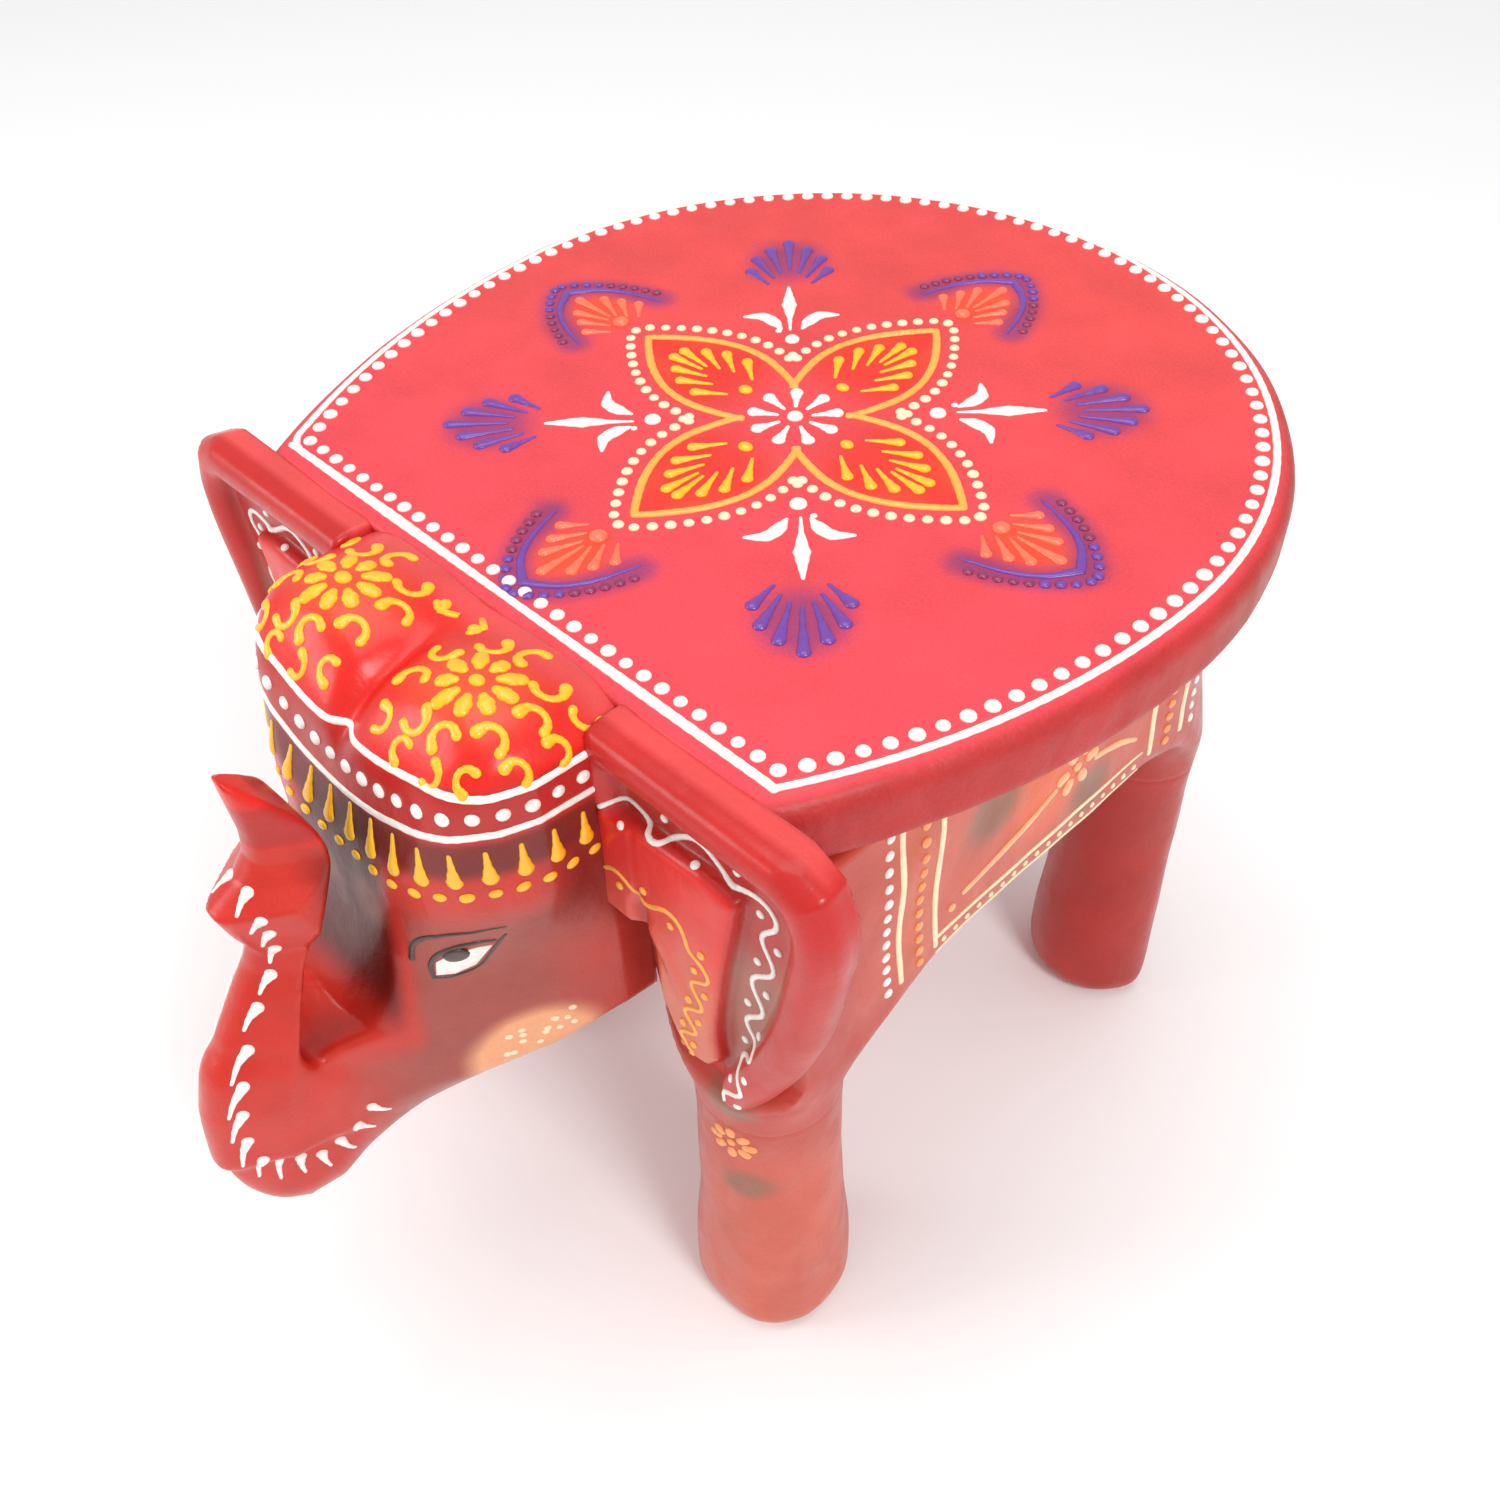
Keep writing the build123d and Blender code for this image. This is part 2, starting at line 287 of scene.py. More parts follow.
SKULL_PROFILE = np.array(
    [(-50, 97), (-50, 215), (-84, 215)]
    + curve([
        (-91, 205), (-94, 196), (-96.5, 184), (-100.5, 170), (-103, 152), (-107.5, 138), (-113, 126.5)
    ]).tolist()
    + curve([
        (-126, 123), (-141, 132), (-147.5, 119), (-149.3, 104), (-147.5, 89.5), (-143, 80), (-136, 73)
    ]).tolist()
    + [(-127, 72), (-106, 84), (-80, 89), (-64, 98)]
)
ARM_FRONT = np.array([
    (-149, 104), (-147, 120), (-143.5, 129), (-138.5, 138), (-131.7, 148), (-127.6, 153), (-125, 158),
    (-127.7, 165), (-129.7, 172.5), (-122.5, 176.5), (-119, 181), (-118.4, 187), (-119.2, 198), (-119.5, 204),
])
ARM_BACK = curve([
    (-116.5, 200.5), (-112, 194.5), (-108, 188), (-107, 180), (-110, 171), (-114, 162), (-119, 152),
    (-124.5, 140), (-127, 131), (-126, 123), (-121, 114), (-124, 100),
])
ARM_PROFILE = np.vstack([ARM_FRONT, ARM_BACK])
UPPER_WIDTH = np.array([
    (-103, 8), (-101, 20), (-98, 27), (-93, 33), (-86, 38), (-78, 41), (-66, 42), (-50, 42),
], float)
LOWER_WIDTH = np.array([
    (-150, 3), (-134, 7), (-120, 12.5), (-106, 21.5), (-97, 26), (-76, 36), (-64, 41), (-50, 42),
])
EAR_OUTLINE = np.array(
    [(36, 204.8), (90, 204.8)]
    + curve([(98, 201), (101.5, 189), (99, 169), (94, 147), (86, 127), (78, 112)]).tolist()
    + curve([(71, 107), (63, 114), (57, 132), (55.5, 147), (50, 153), (40, 156)]).tolist()
    + [(36, 158)]
)
FOLD_OUTLINE = np.array(
    [(36, 184), (56, 187)]
    + curve([(70, 188), (79, 186), (79, 180), (75, 158), (72, 138), (72.5, 126)]).tolist()
    + curve([(69, 120.5), (62, 120), (57, 127), (53, 138), (53, 152)]).tolist()
    + [(36, 152)],
    float,
)


def brow_top(ax, y):
    """Height of the two forehead domes, level with the seat behind, with a cleft in front."""
    pillow = np.exp(-(((ax - 21) / 17) ** 2)) * np.exp(-(((y + 75) / 15) ** 2))
    fall = 6.0 * step(-y, 82, 98) + 2.0 * step(ax, 30, 42)
    cleft = 4.5 * np.exp(-((ax / 3.5) ** 2)) * step(-y, 64, 88)
    return SEAT_TOP - 0.3 + 6.4 * pillow - fall - cleft


def head_width(y, z):
    """Half width: square-shouldered above the temples, a wedge from the cheeks to the trunk."""
    upper = np.interp(y, UPPER_WIDTH[:, 0], UPPER_WIDTH[:, 1])
    lower = np.interp(y, LOWER_WIDTH[:, 0], LOWER_WIDTH[:, 1])
    return mix(lower, upper, step(z, 140, 174))


def head_field(x, y, z):
    ax = np.sqrt(x * x + 0.5)
    width = head_width(y, z)
    keel = 22.0 * np.minimum(ax / width, 1.2) ** 2 * step(y, -146, -108) * (1 - step(z, 96, 150))
    skull = smooth_max(polygon(y, z - keel, SKULL_PROFILE), (ax - width) * 0.88, 6.0)
    skull = smooth_max(skull, (z - brow_top(ax, y)) * 0.9, 6.0)
    arm_width = np.minimum(3.0 + 0.70 * (y - np.interp(z, ARM_FRONT[:, 1], ARM_FRONT[:, 0])), 11.5)
    arm = smooth_max(polygon(y, z, ARM_PROFILE), (ax - arm_width) * 0.85, 2.2)
    whole = smooth_min(skull, arm, 5.0)
    return np.maximum(whole + carving(x, y, z) * 0.7, y - SEAT_FRONT_Y - TUCK)


def ear_field(x, y, z):
    """Panel with a rolled rim, a sunk channel and a raised inner fold."""
    ax = np.abs(x)
    edge = polygon(ax, z, EAR_OUTLINE)
    plate = smooth_max(edge, SEAT_FRONT_Y - 5.8 - y, 1.5)
    outer = step(ax + 0.45 * (z - 110), 71, 76)
    rim = np.hypot(edge + 4.6, y - SEAT_FRONT_Y + 5.0) - 5.2 * outer + 3.0 * (1 - outer)
    fold = smooth_max(polygon(ax, z, FOLD_OUTLINE) + 0.5, SEAT_FRONT_Y - 9.8 - y, 3.0)
    crease = np.hypot((ax - 51.5) * 0.8, y - SEAT_FRONT_Y + 9.5) + 2.6 * step(z, 158, 170) - 2.2
    fold = smooth_max(fold, -crease, 1.5)
    whole = smooth_min(smooth_min(plate, rim, 2.0), fold, 1.6)
    whole = np.maximum(whole, y - SEAT_FRONT_Y - TUCK)
    whole = smooth_max(whole, z - SEAT_TOP + 0.2, 1.0)
    return smooth_max(whole, 40.0 - ax, 1.0) + carving(x, y, z) * 0.7


def tail_field(x, y, z):
    """Short tail with a tuft, lying against the rump."""
    sway = 1.5 * np.sin((z - 104) / 14.0)
    width = 3.6 + 2.0 * (1 - step(z, 108, 128))
    shaft = np.hypot(x - sway, (y - BODY_BACK - 1.5) * 0.8) - width
    return smooth_max(smooth_max(shaft, np.abs(z - 140) - 35, 6.0), BODY_BACK - 1.0 - y, 1.0)


# ---------------------------------------------------------------- meshes
TREES = {}


def make_mesh(name, points, faces):
    """Mesh object in metres, shaded smooth, riding on the one body."""
    mesh = bpy.data.meshes.new(name)
    mesh.from_pydata((np.asarray(points) * MM).tolist(), [], [list(map(int, face)) for face in faces])
    mesh.update()
    mesh.shade_smooth()
    piece = bpy.data.objects.new(name, mesh)
    bpy.context.scene.collection.objects.link(piece)
    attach(piece, "root")
    return piece


def carve(name, nodes, field, low, high, size, tint, material):
    """Carved piece that stands for the CAD nodes, with its airbrushed colour and any painted light on the
    vertices.
    """
    points, faces = net(field, low, high, size)
    piece = make_mesh(name, points, faces)
    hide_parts(*nodes)
    colour = piece.data.color_attributes.new("tint", "FLOAT_COLOR", "POINT")
    shade = np.ones((len(points), 4))
    shade[:, :3] = np.clip(tint(*points.T), 0.0, 1.0)
    colour.data.foreach_set("color", shade.ravel())
    piece.data.materials.append(material)
    TREES[name] = BVHTree.FromPolygons(points.tolist(), faces.tolist())
    return piece


# ---------------------------------------------------------------- airbrushed colour and painted light
def lay(base, colour, amount):
    """Blends an airbrushed colour over the base by an amount from 0 to 1 at each point."""
    return base + (np.array(colour) - base) * np.clip(amount, 0, 1)[:, None]


def plain(colour, count):
    return np.tile(np.array(colour, float), (count, 1))


def spot(u, v, place, radius):
    """Soft round airbrush spot."""
    distance = np.hypot(u - place[0], v - place[1])
    return 1 - step(distance, radius * 0.35, radius)


def near_line(u, v, line, reach):
    """Soft band along a line, 1 on the line and 0 at the reach."""
    best = np.full(u.shape, 1e9)
    for a, b in zip(line[:-1], line[1:]):
        run = np.subtract(b, a)
        t = np.clip(((u - a[0]) * run[0] + (v - a[1]) * run[1]) / (run @ run), 0, 1)
        best = np.minimum(best, np.hypot(u - a[0] - t * run[0], v - a[1] - t * run[1]))
    return 1 - step(best, reach * 0.2, reach)


ARCH = curve([(61, 14), (69, 11), (76, 6.6), (81, 0), (76, -6.6), (69, -11), (61, -14)], 3)


def seat_tint(x, y, z):
    base = lay(plain(CORAL, len(x)), CORAL_WARM, step(y - 0.5 * x, -40, 120))
    base = lay(base, BRICK, 0.8 * (1 - step(z, SEAT_TOP - 2.0, SEAT_TOP - 0.5)))
    # Painted sheen: the lower side of the seat at the back right is laid paler taupe, standing in for light
    # washing over it.
    low = 1 - step(z, SEAT_TOP - 6, SEAT_TOP - 2)
    base = lay(base, TAUPE, 0.6 * low * step(y, 10, 90) * step(x, 60, 100))
    dx, dy = x, y - FLOWER_Y
    across = np.minimum(np.abs(dx), np.abs(dy))
    along = np.maximum(np.abs(dx), np.abs(dy))
    top = step(z, SEAT_TOP - 2, SEAT_TOP - 1)
    wide = 13.5 * np.sin(np.clip(along / 50, 0, 1) ** 1.1 * math.pi) + 0.1
    petal = (1 - step(across / wide, 0.7, 1.1)) * (along < 50) * top
    base = lay(base, (0.78, 0.028, 0.010), petal * 0.8 * step(along, 8, 24))
    base = lay(base, ORANGE_GLOW, petal * step(along, 26, 46) * 0.35 * step(across, 1, 8))
    for turn in range(4):
        c, s = math.cos(turn * math.pi / 2), math.sin(turn * math.pi / 2)
        u, v = dx * c + dy * s, dy * c - dx * s
        base = lay(base, PURPLE_GLOW, 0.8 * top * near_line(u, v, ARCH, 6.5))
        base = lay(base, (0.80, 0.075, 0.02), 0.8 * top * spot(u * 0.8, v, (67 * 0.8, 0), 10.5))
        c, s = math.cos((turn + 0.5) * math.pi / 2), math.sin((turn + 0.5) * math.pi / 2)
        u, v = dx * c + dy * s, dy * c - dx * s
        base = lay(base, PURPLE_GLOW, 0.8 * top * spot(u, v, (70, 0), 14))
    return base


def body_tint(x, y, z):
    ax = np.abs(x)
    base = lay(plain(LEG_RED, len(x)), BRICK, step(y, 15, 70) * (0.4 + 0.5 * (1 - step(z, 90, 130))))
    panel = step(ax, 76, 87) * step(y, -50, -20) * step(z, 122, 135) * (1 - step(y, 60, 110))
    base = lay(base, SALMON, 0.45 * panel)
    base = lay(base, SALMON, 0.5 * step(ax - y, 110, 128) * (1 - step(z, 60, 120)) * (y < 20))
    side = step(ax, 80, 85)
    band = step(y, -27, -25) * (1 - step(y, -16, -14)) * step(z, 128, 132)
    base = lay(base, (0.60, 0.11, 0.05), side * band * 0.8)
    base = lay(base, ORANGE_GLOW, side * 0.75 * spot(y, z, (26, 156), 26))
    smudge = np.maximum(spot(y, z, (4, 162), 13), spot(y, z, (42, 138), 11))
    base = lay(base, GREEN_GREY, side * 0.7 * smudge)
    leaf = np.maximum(spot(ax, z, (73, 110), 9), spot(ax, z, (75, 73), 8))
    return lay(base, GREEN_GREY, 0.65 * leaf * (1 - step(y, -58, -50)))


def head_tint(x, y, z):
    ax = np.abs(x)
    base = plain((0.60, 0.026, 0.014), len(x))
    lift = 5.0 * step(ax, 8, 36)
    base = lay(base, GLOSS_RED, step(z - lift, 183, 186))
    base = lay(base, (0.76, 0.10, 0.035), 0.75 * step(z, 206, 211))
    base = lay(base, CORAL_WARM, step(y, -66, -58) * step(z, 200, 203))
    base = lay(base, (0.42, 0.014, 0.010), 0.8 * step(z - lift, 184, 186) * (1 - step(z - lift, 195, 197)))
    under_band = step(z - lift, 172, 176) * (1 - step(z - lift, 182, 185)) * step(y, -106, -100)
    base = lay(base, MAROON, 0.80 * under_band)
    edge = ax + 0.9 * (y + 104)
    face = np.minimum(step(edge, 18, 25) + (1 - step(z, 118, 128)), 1)
    face = face * (1 - step(z, 158, 172)) * step(y, -128, -104)
    base = lay(base, BROWN, 0.95 * face * (1 - 0.6 * step(y, -84, -66)))
    temple = step(y, -84, -70) * step(z, 140, 165) * (1 - step(z, 178, 186))
    base = lay(base, (0.14, 0.004, 0.003), 0.8 * temple)
    recess = (1 - step(edge, 14, 21)) * step(y, -116, -106) * step(z, 126, 140)
    base = lay(base, MAROON, 0.95 * recess * (1 - step(z, 176, 186)))
    # Painted reflection: a grey-brown spot high in the recess stands for light glinting off the gloss.
    base = lay(base, TAUPE, 0.5 * recess * spot(ax, z, (9, 160), 8))
    cheek = np.clip(spot(y, z, (-84, 110.5), 17.5) * 2.2, 0, 1)
    return lay(base, PEACH, 0.95 * cheek * step(ax, 14, 20))


def ear_tint(x, y, z):
    ax = np.abs(x)
    base = plain((0.54, 0.016, 0.014), len(x))
    base = lay(base, LEG_RED, step(ax, 84, 101) * (1 - step(z, 150, 190)) * 0.7)
    base = lay(base, CORAL_WARM, step(z, 201, 204) * step(y, -61.5, -59.5))
    sunk = step(y, -64.2, -62.6) * step(-polygon(ax, z, EAR_OUTLINE), 6.5, 9.5) * (z < 196)
    channel = lay(plain((0.46, 0.016, 0.012), len(x)), TAUPE, step(ax, 70, 76) * (1 - step(z, 160, 178)))
    base = base + (channel - base) * (sunk * 0.9)[:, None]
    fold = step(-y, 63.4, 65.0) * step(-polygon(ax, z, FOLD_OUTLINE), 0.5, 2.0)
    paint = lay(plain(GLOSS_RED, len(x)), SALMON, 1 - step(z, 130, 178))
    return base + (paint - base) * fold[:, None]


def wood_tint(x, y, z):
    return plain(BRICK, len(x))


# ---------------------------------------------------------------- materials
def node(tree, kind, **inputs):
    """Shader node with its named inputs set or linked."""
    made = tree.nodes.new(kind)
    for name, value in inputs.items():
        put(tree, made, name.replace("_", " "), value)
    return made


def put(tree, made, name, value):
    if isinstance(value, bpy.types.NodeSocket):
        tree.links.new(value, made.inputs[name])
    else:
        made.inputs[name].default_value = value


def new_material(name):
    material = bpy.data.materials.new(name)
    material.use_nodes = True
    return material, material.node_tree, material.node_tree.nodes["Principled BSDF"]


def noise(tree, scale, detail=3.0, stretch=(1.0, 1.0, 1.0)):
    """Noise value over the object's own coordinates, scale in cycles per metre."""
    place = node(tree, "ShaderNodeTexCoord")
    mapping = node(tree, "ShaderNodeMapping", Vector=place.outputs["Object"], Scale=stretch)
    made = node(tree, "ShaderNodeTexNoise", Vector=mapping.outputs["Vector"], Scale=scale, Detail=detail)
    return made.outputs["Fac"]


def ramp(tree, value, low, high, out_low, out_high):
    made = node(tree, "ShaderNodeMapRange", Value=value)
    for name, number in zip(("From Min", "From Max", "To Min", "To Max"), (low, high, out_low, out_high)):
        made.inputs[name].default_value = number
    return made.outputs["Result"]


def brighten(tree, colour, value):
    """Multiplies a colour by a varying value."""
    made = tree.nodes.new("ShaderNodeVectorMath")
    made.operation = "MULTIPLY"
    tree.links.new(colour, made.inputs[0])
    tree.links.new(value, made.inputs[1])
    return made.outputs["Vector"]


def varnished(name, rough, coat, grain, level_grain, speckle):
    """Airbrushed enamel over carved wood, brushed more smoothly where it lies level."""
    material, tree, shader = new_material(name)
    tint = node(tree, "ShaderNodeAttribute")
    tint.attribute_name = "tint"
    fine = noise(tree, 1400.0, 2.0)
    broad = noise(tree, 60.0, 4.0)
    brushed = noise(tree, 160.0, 5.0, (1.0, 1.0, 0.6))
    colour = brighten(tree, tint.outputs["Color"], ramp(tree, fine, 0.25, 0.75, 1 - speckle, 1 + speckle))
    colour = brighten(tree, colour, ramp(tree, broad, 0.3, 0.7, 0.90, 1.08))
    tree.links.new(colour, shader.inputs["Base Color"])
    tree.links.new(ramp(tree, brushed, 0.3, 0.7, rough - 0.08, rough + 0.10), shader.inputs["Roughness"])
    shader.inputs["Coat Weight"].default_value = coat
    shader.inputs["Coat Roughness"].default_value = 0.18
    shader.inputs["Specular IOR Level"].default_value = 0.3
    geometry = node(tree, "ShaderNodeNewGeometry")
    facing = node(tree, "ShaderNodeSeparateXYZ", Vector=geometry.outputs["Normal"])
    level = ramp(tree, facing.outputs["Z"], 0.80, 0.97, grain, level_grain)
    rise = node(tree, "ShaderNodeBump", Height=brushed, Distance=0.0009)
    tree.links.new(level, rise.inputs["Strength"])
    pores = node(
        tree, "ShaderNodeBump", Height=fine, Strength=0.25, Distance=0.0002, Normal=rise.outputs["Normal"]
    )
    tree.links.new(pores.outputs["Normal"], shader.inputs["Normal"])
    return material


def bead_paint(name, colour, rough=0.35):
    """Thick cone-work paint with slight unevenness of colour."""
    material, tree, shader = new_material(name)
    shade = node(tree, "ShaderNodeRGB")
    shade.outputs[0].default_value = (*colour, 1)
    colour = brighten(tree, shade.outputs[0], ramp(tree, noise(tree, 500.0, 3.0), 0.3, 0.7, 0.90, 1.06))
    tree.links.new(colour, shader.inputs["Base Color"])
    shader.inputs["Roughness"].default_value = rough
    shader.inputs["Coat Weight"].default_value = 0.3
    rise = node(tree, "ShaderNodeBump", Height=noise(tree, 900.0, 2.0), Strength=0.2, Distance=0.0003)
    tree.links.new(rise.outputs["Normal"], shader.inputs["Normal"])
    return material


def bare_wood():
    material, tree, shader = new_material("dowel_wood")
    grain = noise(tree, 90.0, 6.0, (1.0, 1.0, 0.1))
    pale = node(tree, "ShaderNodeRGB")
    pale.outputs[0].default_value = (0.62, 0.42, 0.24, 1)
    colour = brighten(tree, pale.outputs[0], ramp(tree, grain, 0.3, 0.7, 0.7, 1.1))
    tree.links.new(colour, shader.inputs["Base Color"])
    tree.links.new(ramp(tree, grain, 0.3, 0.7, 0.55, 0.75), shader.inputs["Roughness"])
    return material


# ---------------------------------------------------------------- raised paint
WHITE = (0.93, 0.90, 0.84)
CREAM = (0.95, 0.80, 0.52)
AMBER = (0.95, 0.42, 0.06)
YELLOW = (0.98, 0.50, 0.01)
PALE_ORANGE = (0.93, 0.36, 0.12)
CORAL_DROP = (0.98, 0.17, 0.08)
VIOLET = (0.16, 0.045, 0.34)
PLUM = (0.26, 0.02, 0.10)
INK = (0.06, 0.022, 0.018)
PAINTS = {
    "white": WHITE, "cream": CREAM, "amber": AMBER, "yellow": YELLOW, "pale_orange": PALE_ORANGE,
    "peach": (0.98, 0.50, 0.24),    "coral": CORAL_DROP, "violet": VIOLET, "plum": PLUM, "ink": INK,
}
BEADS = {}
DOWN = (0, 0, -10)
BACKWARD = (0, 10, 0)
hand = np.random.default_rng(7)


def ground(piece, point, way):
    """Where a line along the way, begun one way before the point, meets a piece, and the normal there."""
    hit, normal, _, _ = TREES[piece].ray_cast(Vector(point) - Vector(way), Vector(way), 40)
    if hit is None:
        hit, normal, _, _ = TREES[piece].find_nearest(Vector(point))
    return np.array(hit), np.array(normal)


def add_rings(group, rings):
    """Closed lofted bead through rings of points."""
    points, faces = BEADS.setdefault(group, ([], []))
    first = len(points)
    count = len(rings[0])
    for ring in rings:
        points.extend(ring)
    for r in range(len(rings) - 1):
        for k in range(count):
            a, b = first + r * count + k, first + r * count + (k + 1) % count
            faces.append((a, b, b + count, a + count))
    faces.append(tuple(first + k for k in reversed(range(count))))
    faces.append(tuple(first + (len(rings) - 1) * count + k for k in range(count)))


def dot(group, piece, point, radius, way=DOWN, stretch=1.0, turn=0.0):
    """Round or oval bead of paint."""
    place, normal = ground(piece, point, way)
    side = np.cross(normal, (0.3, 0.2, 1.0) if abs(normal[2]) < 0.8 else (0, 1, 0))
    side /= np.linalg.norm(side)
    other = np.cross(normal, side)
    radius = radius * hand.uniform(0.93, 1.08)
    rings = []
    for spread, height in ((1.0, -0.25), (1.0, 0.12), (0.88, 0.32), (0.58, 0.48), (0.2, 0.55)):
        ring = []
        for angle in np.linspace(0, 2 * math.pi, 12, endpoint=False):
            u, v = math.cos(angle) * stretch, math.sin(angle)
            u, v = u * math.cos(turn) - v * math.sin(turn), u * math.sin(turn) + v * math.cos(turn)
            ring.append(place + radius * (spread * (side * u + other * v) + normal * height))
        rings.append(ring)
    add_rings(group, rings)


def stroke(group, piece, path, widths, way=DOWN):
    """Squeezed line of paint along a smooth path; widths are half widths spread along it."""
    line = curve(path, 6) if len(path) > 2 else np.linspace(path[0], path[-1], 7)
    ways = [way(point) if callable(way) else way for point in line]
    placed = [ground(piece, point, direction) for point, direction in zip(line, ways)]
    p = np.array([place for place, _ in placed])
    n = np.array([normal for _, normal in placed])
    for _ in range(3):
        n[1:-1] = (n[:-2] + n[1:-1] + n[2:]) / 3
    n /= np.linalg.norm(n, axis=1)[:, None]
    t = np.gradient(p, axis=0)
    t /= np.linalg.norm(t, axis=1)[:, None] + 1e-9
    w = np.interp(np.linspace(0, 1, len(p)), np.linspace(0, 1, len(widths)), widths)
    w = w * (1 + 0.05 * np.sin(np.arange(len(p)) * 1.7 + len(p)))
    spans = [(p[0] - t[0] * w[0] * math.sin(a), t[0], n[0], w[0] * math.cos(a)) for a in (1.4, 0.9, 0.45)]
    spans += list(zip(p, t, n, w))
    spans += [
        (p[-1] + t[-1] * w[-1] * math.sin(a), t[-1], n[-1], w[-1] * math.cos(a)) for a in (0.45, 0.9, 1.4)
    ]
    rings = []
    for place, tangent, normal, half in spans:
        side = np.cross(normal, tangent)
        tall = min(0.5 * half, 0.7)
        ring = [place - side * half - normal * 0.35]
        for angle in np.linspace(0, math.pi, 6):
            ring.append(place - side * half * math.cos(angle) + normal * (tall * math.sin(angle) + 0.05))
        ring.append(place + side * half - normal * 0.35)
        rings.append(ring)
    add_rings(group, rings)


def teardrop(group, piece, tail, head, half, way=DOWN, bend=0.0):
    """Drop with a thin tail and a round head, bent aside by a part of its length."""
    tail, head = np.array(tail, float), np.array(head, float)
    run = head - tail
    aside = np.cross(run, way(head) if callable(way) else way)
    aside *= bend * np.linalg.norm(run) / max(np.linalg.norm(aside), 1e-9)
    path = [tail, (tail + head) / 2 + aside, head]
    stroke(group, piece, path, [half * 0.28, half * 0.5, half * 1.0], way)


def patch(group, piece, outline, way, lift=0.3):
    """Thin flat pool of paint inside an outline."""
    outline = np.array(outline, float)
    middle = outline.mean(axis=0)
    rings = []
    steps = ((1.0, -0.3), (1.0, lift * 0.5), (0.93, lift), (0.6, lift * 1.15), (0.2, lift * 1.2))
    for scale, height in steps:
        ring = []
        for point in middle + (outline - middle) * scale:
            place, normal = ground(piece, point, way)
            ring.append(place + normal * height)
        rings.append(ring)
    add_rings(group, rings)


def lay_paint():
    """Turns the collected beads into one piece for each area and colour."""
    materials = {name: bead_paint(name + "_bead", colour) for name, colour in PAINTS.items()}
    for group, (points, faces) in BEADS.items():
        piece = make_mesh(group, np.array(points), faces)
        piece.data.materials.append(materials[group.split("-")[-1]])


# ---------------------------------------------------------------- seat decoration
def evenly(line, pitch):
    """Points at an even pitch along a line."""
    steps = np.linalg.norm(np.diff(line, axis=0), axis=1)
    travel = np.concatenate([[0], np.cumsum(steps)])
    places = np.linspace(0, travel[-1], max(2, round(travel[-1] / pitch) + 1))
    return np.stack([np.interp(places, travel, line[:, axis]) for axis in range(line.shape[1])], axis=1)


def flower_point(u, v, turn):
    """Point of the seat from flower coordinates: u outward along the motif, v across it."""
    c, s = math.cos(turn), math.sin(turn)
    return np.array([u * c - v * s, u * s + v * c + FLOWER_Y, SEAT_TOP])


def seat_border():
    """White line just inside the edge, with a row of dots inside it."""
    inset = 1 - 4.9 / SEAT_RADIUS
    outline = [(x * inset, SEAT_CENTRE_Y + (y - SEAT_CENTRE_Y) * inset) for x, y in SEAT_OUTLINE]
    line = np.array([(x, max(y, SEAT_FRONT_Y + 3.0), SEAT_TOP) for x, y in outline])
    loop = evenly(np.vstack([line, line[:1]]), 6.0)
    front = np.linspace(line[-1], line[0], 30)
    stroke("seat-white", "seat", loop[:-1], [0.75, 0.95, 0.8, 0.9, 0.75])
    stroke("seat-white", "seat", front, [0.9, 1.3, 0.9, 1.2, 1.0])
    ring = [(x * 0.925, SEAT_CENTRE_Y + (y - SEAT_CENTRE_Y) * 0.925) for x, y in SEAT_OUTLINE]
    row = evenly(np.array([(x, max(y, SEAT_FRONT_Y + 8), SEAT_TOP) for x, y in ring]), 5.4)
    for point in row:
        dot("seat-white", "seat", point, 1.6)
    for point in np.linspace(row[-1], row[0], 30)[1:-1]:
        dot("seat-white", "seat", point, 1.5)


def petal_line(side, out):
    """One side of a petal, pushed out from its own line by a distance."""
    shape = curve([(8.5, 8.9), (14, 11), (22, 12.8), (30, 12.2), (38, 8.9), (45, 4.0), (49.5, 0)], 5)
    if not out:
        return np.array([(u, side * v) for u, v in shape])
    slope = np.gradient(shape, axis=0)
    slope /= np.linalg.norm(slope, axis=1)[:, None]
    outer = shape + np.stack([-slope[:, 1], slope[:, 0]], axis=1) * out
    keep = outer[(outer[:, 1] > 0.6) & (outer[:, 1] < outer[:, 0] * 0.93)]
    return np.array([(u, side * v) for u, v in keep])


FAN = [((18, 4.2), (24, 8.6)), ((23.5, 3.6), (30, 7.6)), ((27, 2.2), (34.4, 5.0)), ((30, 0.8), (38.5, 1.7))]


def seat_petal(turn):
    """Outlined petal with a fan of drops and a border of cream dots."""
    for side in (1, -1):
        rim = [flower_point(u, v, turn) for u, v in petal_line(side, 0)[::3]]
        stroke("seat-amber", "seat", rim, [0.9, 1.0, 0.9, 1.0, 0.9])
        for u, v in evenly(petal_line(side, 4.3), 3.75):
            dot("seat-cream", "seat", flower_point(u, v, turn), 1.25)
    dot("seat-cream", "seat", flower_point(54, 0, turn), 1.3)
    dot("seat-yellow", "seat", flower_point(16, 0, turn), 1.5, DOWN, 1.2)
    for tail, head in FAN:
        for side in (1, -1):
            teardrop("seat-yellow", "seat", flower_point(tail[0], side * tail[1], turn),
                     flower_point(head[0], side * head[1], turn), 1.35)


def seat_finial(turn):
    """White bud on a diagonal: a dot, a long middle leaf and two curled side leaves."""
    dot("seat-white", "seat", flower_point(32.5, 0, turn), 1.9)
    dot("seat-cream", "seat", flower_point(25.5, 0, turn), 1.25)
    dot("seat-white", "seat", flower_point(36.6, 3.2, turn), 0.8)
    middle = [flower_point(u, 0.4, turn) for u in (37, 42, 48.5, 53, 57)]
    stroke("seat-white", "seat", middle, [0.3, 0.6, 1.9, 1.1, 0.4])
    for side in (1, -1):
        shape = [(37.5, 2.6), (40.5, 4.2), (43.2, 7.0), (43.4, 11.5)]
        leaf = [flower_point(u, side * v, turn) for u, v in shape]
        stroke("seat-white", "seat", leaf, [0.4, 1.7, 1.6, 0.45])


